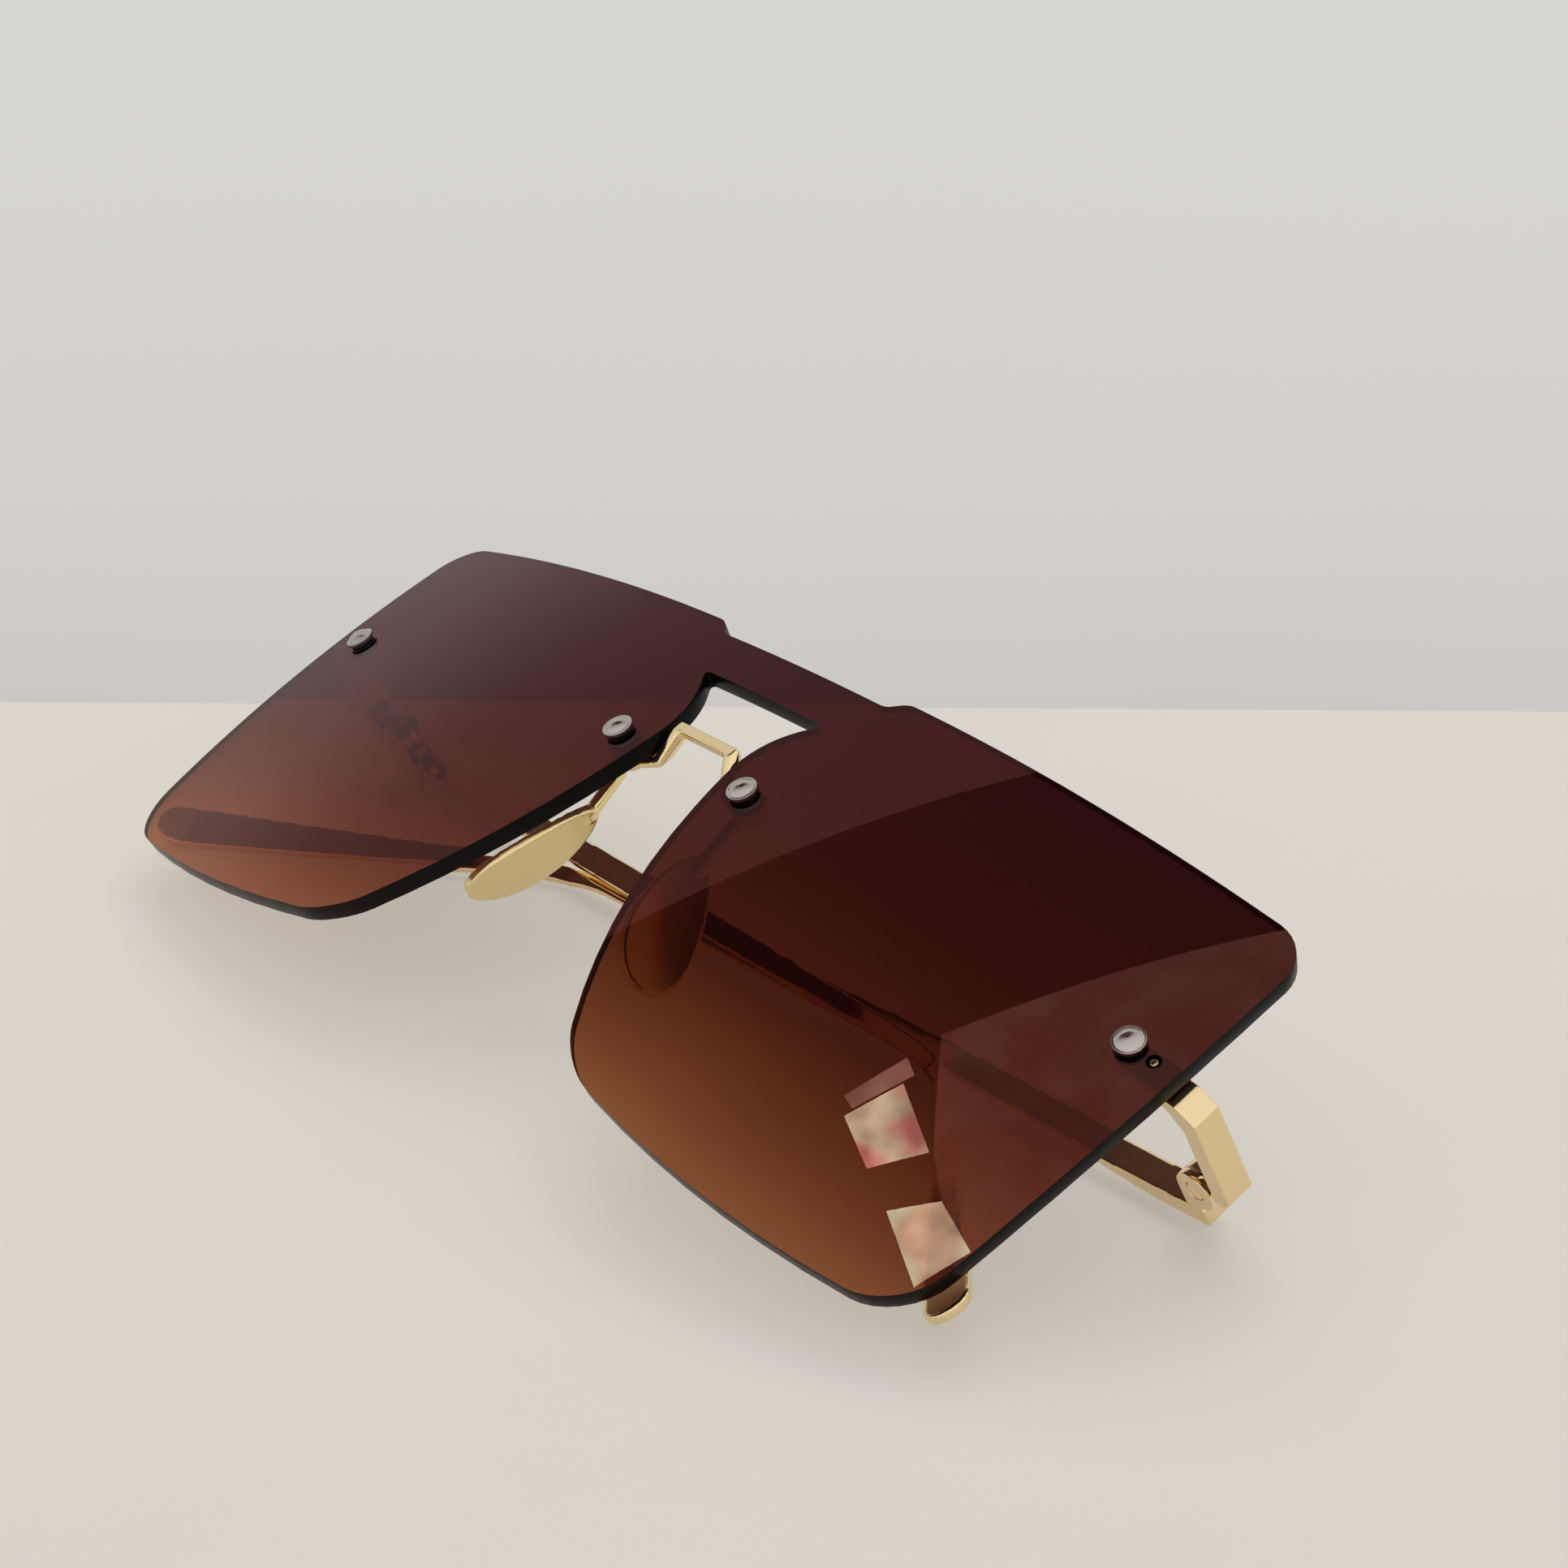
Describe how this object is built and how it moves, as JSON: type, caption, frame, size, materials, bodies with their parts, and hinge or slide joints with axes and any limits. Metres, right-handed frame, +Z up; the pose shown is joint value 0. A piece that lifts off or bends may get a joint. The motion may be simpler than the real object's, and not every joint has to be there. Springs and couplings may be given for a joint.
{
  "type": "rimless shield sunglasses",
  "caption": "Rimless flat-top sunglasses: a one-piece curved gradient lens with polished gold bridge, leaf nose pads, angled end pieces and slim hinged temples.",
  "frame": {"origin": "middle of the footprint, on the table", "axes": "+X along the lens's width towards the temple on the viewer's right, +Y up the lens's slope towards its top edge, +Z up from the table; the glasses lie lens up on their folded temples"},
  "size_m": [0.1506, 0.053, 0.0343],
  "materials": {
    "lens": "polished, tinted dark at the top and lighter at the bottom",
    "gold": "polished gold plate",
    "steel": "polished",
    "washer": "dark"
  },
  "bodies": {
    "front": {"lens": "lens", "bridge": "gold", "left_nose_pad": "gold", "right_nose_pad": "gold", "lens_screws": "steel", "front_washers": "washer", "rear_washers": "washer", "lens_sleeves": "washer", "lens_nuts": "gold", "left_end_piece": "gold", "right_end_piece": "gold", "locating_pins": "gold", "left_hinge_barrel": "gold", "right_hinge_barrel": "gold", "left_hinge_screw": "steel", "right_hinge_screw": "steel"},
    "left_arm": {"left_temple": "gold", "left_hinge_lugs": "gold"},
    "right_arm": {"right_temple": "gold", "right_hinge_lugs": "gold"}
  },
  "joints": [
    {"name": "left_temple_hinge", "type": "hinge", "parent": "front", "child": "left_arm", "pos_m": [-0.0703, 0.0145, 0.00538], "axis": [0, 0.9118, 0.4106], "range_deg": [0, 90.4]},
    {"name": "right_temple_hinge", "type": "hinge", "parent": "front", "child": "right_arm", "pos_m": [0.0703, 0.0145, 0.00538], "axis": [0, -0.9118, -0.4106], "range_deg": [0, 89.3]}
  ]
}
